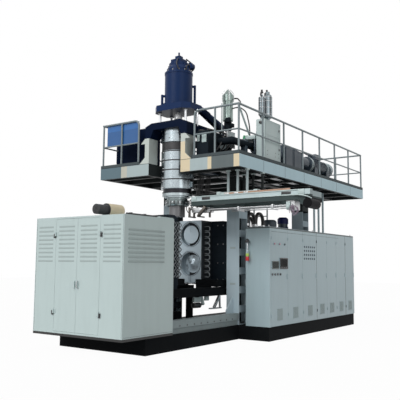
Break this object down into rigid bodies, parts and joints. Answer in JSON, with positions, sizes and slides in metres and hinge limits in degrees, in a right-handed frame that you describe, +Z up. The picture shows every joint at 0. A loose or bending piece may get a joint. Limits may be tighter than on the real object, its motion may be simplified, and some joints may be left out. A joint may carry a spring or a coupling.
{
  "type": "blow moulding machine",
  "caption": "Accumulator-head blow moulding machine with a two-sided sliding clamp, a railed platform, switch cabinets and a take-out unit.",
  "frame": {"origin": "on the floor, below the axis of the extrusion head", "axes": "+X along the machine from the clamp housing towards the switch cabinets' far end, +Y across it away from the cabinets, +Z up"},
  "size_m": [8.9323, 4.9758, 6.047],
  "materials": {
    "black_paint": "satin",
    "grey_paint": "satin",
    "cabinet_paint": "satin",
    "dark_paint": "satin",
    "navy_paint": "gloss",
    "blue_paint": "satin",
    "railing_paint": "satin",
    "machined_steel": "machined",
    "dark_steel": "oxidised",
    "polished_steel": "polished",
    "mould_metal": "machined",
    "hose_rubber": "matt",
    "red_plastic": "gloss",
    "green_plastic": "gloss",
    "black_plastic": "gloss",
    "yellow_plastic": "gloss"
  },
  "bodies": {
    "machine": {"base_skid": "black_paint", "bed_rails": "grey_paint", "platform_columns": "grey_paint", "platform_frame": "grey_paint", "deck_plate": "dark_paint", "platform_railing": "railing_paint", "sign_plate": "blue_paint", "access_ladder": "railing_paint", "head_upstands": "grey_paint", "head_yoke": "navy_paint", "tower_frame": "navy_paint", "injection_cylinder": "navy_paint", "cylinder_cap": "machined_steel", "accumulator_barrel": "machined_steel", "heater_bands": "polished_steel", "die_holder": "machined_steel", "die_ring": "dark_steel", "melt_pipe": "machined_steel", "extruder_barrel": "cabinet_paint", "gearbox": "dark_paint", "extruder_motor": "dark_paint", "material_feeder": "cabinet_paint", "vacuum_loaders": "polished_steel", "front_hopper": "polished_steel", "accumulator_cabinet": "navy_paint", "clamp_housing": "cabinet_paint", "housing_motor": "dark_paint", "guide_beams": "black_paint", "clamp_cylinder": "dark_paint", "blow_stand": "dark_paint", "takeout_frame": "grey_paint", "oil_tank": "cabinet_paint", "pump_motors": "dark_paint", "hydraulic_hoses": "hose_rubber", "switch_cabinets": "cabinet_paint"},
    "left_clamp": {"moving_platen_left": "grey_paint", "mould_half_left": "mould_metal", "cooling_hoses_left": "hose_rubber"},
    "right_clamp": {"moving_platen_right": "grey_paint", "mould_half_right": "mould_metal", "cooling_hoses_right": "hose_rubber"},
    "near_housing_leaf": {"housing_door_near": "cabinet_paint"},
    "far_housing_leaf": {"housing_door_far": "cabinet_paint"},
    "mandrel": {"mandrel_rod": "machined_steel"},
    "drive_shaft": {"drive_coupling": "machined_steel"},
    "blow_pin_unit": {"blow_pin": "polished_steel"},
    "carriage": {"takeout_carriage": "machined_steel"},
    "near_arm": {"gripper_arm_near": "machined_steel"},
    "far_arm": {"gripper_arm_far": "machined_steel"},
    "start_push": {"start_button": "green_plastic"},
    "stop_push": {"stop_button": "red_plastic"},
    "reset_push": {"reset_button": "yellow_plastic"},
    "emergency_push": {"emergency_stop": "red_plastic"},
    "cabinet_leaf_1": {"cabinet_door_1": "cabinet_paint"},
    "cabinet_leaf_2": {"cabinet_door_2": "cabinet_paint"},
    "cabinet_leaf_3": {"cabinet_door_3": "cabinet_paint"},
    "cabinet_leaf_4": {"cabinet_door_4": "cabinet_paint"},
    "cabinet_leaf_5": {"cabinet_door_5": "cabinet_paint"},
    "cabinet_leaf_6": {"cabinet_door_6": "cabinet_paint"},
    "cabinet_leaf_7": {"cabinet_door_7": "cabinet_paint"}
  },
  "joints": [
    {"name": "left_clamp_slide", "type": "slide", "parent": "machine", "child": "left_clamp", "axis": [1, 0, 0], "range_m": [0, 0.48]},
    {"name": "right_clamp_slide", "type": "slide", "parent": "machine", "child": "right_clamp", "axis": [-1, 0, 0], "range_m": [0, 0.48]},
    {"name": "near_housing_hinge", "type": "hinge", "parent": "machine", "child": "near_housing_leaf", "pos_m": [-2.7853, -0.538, 1.3], "axis": [0, 0, 1], "range_deg": [0, 110]},
    {"name": "far_housing_hinge", "type": "hinge", "parent": "machine", "child": "far_housing_leaf", "pos_m": [-2.7853, 0.538, 1.3], "axis": [0, 0, 1], "range_deg": [-110, 0]},
    {"name": "mandrel_slide", "type": "slide", "parent": "machine", "child": "mandrel", "axis": [0, 0, 1], "range_m": [-0.04, 0]},
    {"name": "drive_turn", "type": "hinge", "parent": "machine", "child": "drive_shaft", "pos_m": [3.435, -1.3, 4], "axis": [1, 0, 0], "continuous": true},
    {"name": "blow_pin_slide", "type": "slide", "parent": "machine", "child": "blow_pin_unit", "axis": [0, 0, 1], "range_m": [-0.25, 0]},
    {"name": "carriage_slide", "type": "slide", "parent": "machine", "child": "carriage", "axis": [0, 1, 0], "range_m": [-0.1, 0.2]},
    {"name": "near_arm_hinge", "type": "hinge", "parent": "carriage", "child": "near_arm", "pos_m": [0, -0.83, 2.61], "axis": [1, 0, 0], "range_deg": [-12, 12]},
    {"name": "far_arm_hinge", "type": "hinge", "parent": "carriage", "child": "far_arm", "pos_m": [0, -0.44, 2.61], "axis": [1, 0, 0], "range_deg": [-12, 12]},
    {"name": "cabinet_hinge_1", "type": "hinge", "parent": "machine", "child": "cabinet_leaf_1", "pos_m": [0.855, -1.7643, 1.281], "axis": [0, 0, 1], "range_deg": [-90, 0]},
    {"name": "cabinet_hinge_2", "type": "hinge", "parent": "machine", "child": "cabinet_leaf_2", "pos_m": [1.586, -1.7643, 1.281], "axis": [0, 0, 1], "range_deg": [-90, 0]},
    {"name": "cabinet_hinge_3", "type": "hinge", "parent": "machine", "child": "cabinet_leaf_3", "pos_m": [2.317, -1.7643, 1.281], "axis": [0, 0, 1], "range_deg": [-90, 0]},
    {"name": "cabinet_hinge_4", "type": "hinge", "parent": "machine", "child": "cabinet_leaf_4", "pos_m": [3.048, -1.7643, 1.281], "axis": [0, 0, 1], "range_deg": [-90, 0]},
    {"name": "cabinet_hinge_5", "type": "hinge", "parent": "machine", "child": "cabinet_leaf_5", "pos_m": [3.63325, -1.7643, 1.281], "axis": [0, 0, 1], "range_deg": [-90, 0]},
    {"name": "cabinet_hinge_6", "type": "hinge", "parent": "machine", "child": "cabinet_leaf_6", "pos_m": [4.2185, -1.7643, 1.281], "axis": [0, 0, 1], "range_deg": [-90, 0]},
    {"name": "cabinet_hinge_7", "type": "hinge", "parent": "machine", "child": "cabinet_leaf_7", "pos_m": [4.80375, -1.7643, 1.281], "axis": [0, 0, 1], "range_deg": [-90, 0]},
    {"name": "start_press", "type": "slide", "parent": "cabinet_leaf_1", "child": "start_push", "axis": [0, 1, 0], "range_m": [0, 0.005], "stiffness_N_per_m": 500, "springref_m": -0.004},
    {"name": "stop_press", "type": "slide", "parent": "cabinet_leaf_1", "child": "stop_push", "axis": [0, 1, 0], "range_m": [0, 0.005], "stiffness_N_per_m": 500, "springref_m": -0.004},
    {"name": "reset_press", "type": "slide", "parent": "cabinet_leaf_1", "child": "reset_push", "axis": [0, 1, 0], "range_m": [0, 0.005], "stiffness_N_per_m": 500, "springref_m": -0.004},
    {"name": "emergency_press", "type": "slide", "parent": "cabinet_leaf_1", "child": "emergency_push", "axis": [0, 1, 0], "range_m": [0, 0.005], "stiffness_N_per_m": 500, "springref_m": -0.004}
  ],
  "couplings": [
    {"joint": "right_clamp_slide", "follows": "left_clamp_slide", "ratio": 1},
    {"joint": "far_arm_hinge", "follows": "near_arm_hinge", "ratio": -1}
  ]
}
